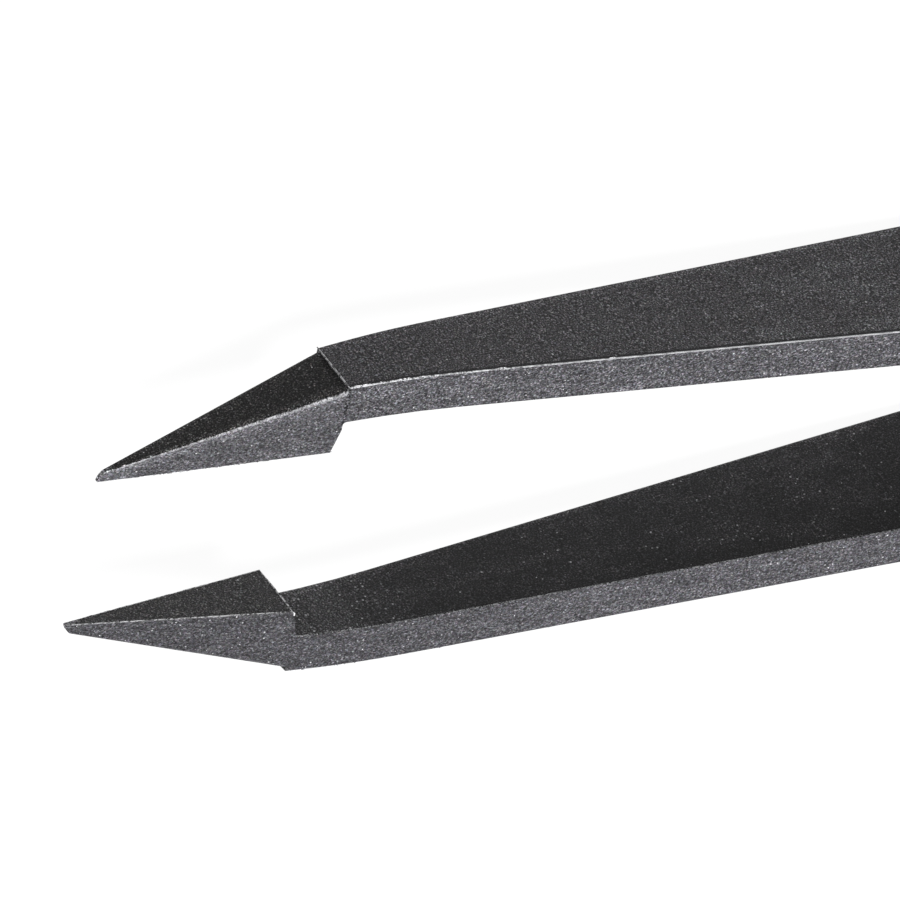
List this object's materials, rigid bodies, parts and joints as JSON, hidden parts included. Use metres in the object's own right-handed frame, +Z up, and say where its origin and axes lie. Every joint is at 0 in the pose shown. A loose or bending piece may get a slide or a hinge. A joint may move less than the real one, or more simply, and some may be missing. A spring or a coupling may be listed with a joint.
{
  "type": "plastic tweezers",
  "caption": "Moulded plastic tweezers: tapered arms that spring from a solid tail and end in pointed arrowhead tips with flat closing faces.",
  "frame": {"origin": "on the surface that the tweezers lie on, under the middle of their length, midway between the arms", "axes": "+X from the noses of the tips to the tail, +Z up out of the side that faces up, Y the way the arms open"},
  "size_m": [0.12, 0.0182, 0.01],
  "materials": {
    "moulded_plastic": "dark grey, fine grain from its carbon filling, low sheen"
  },
  "bodies": {
    "root": {"tweezers": "moulded_plastic"}
  },
  "joints": []
}
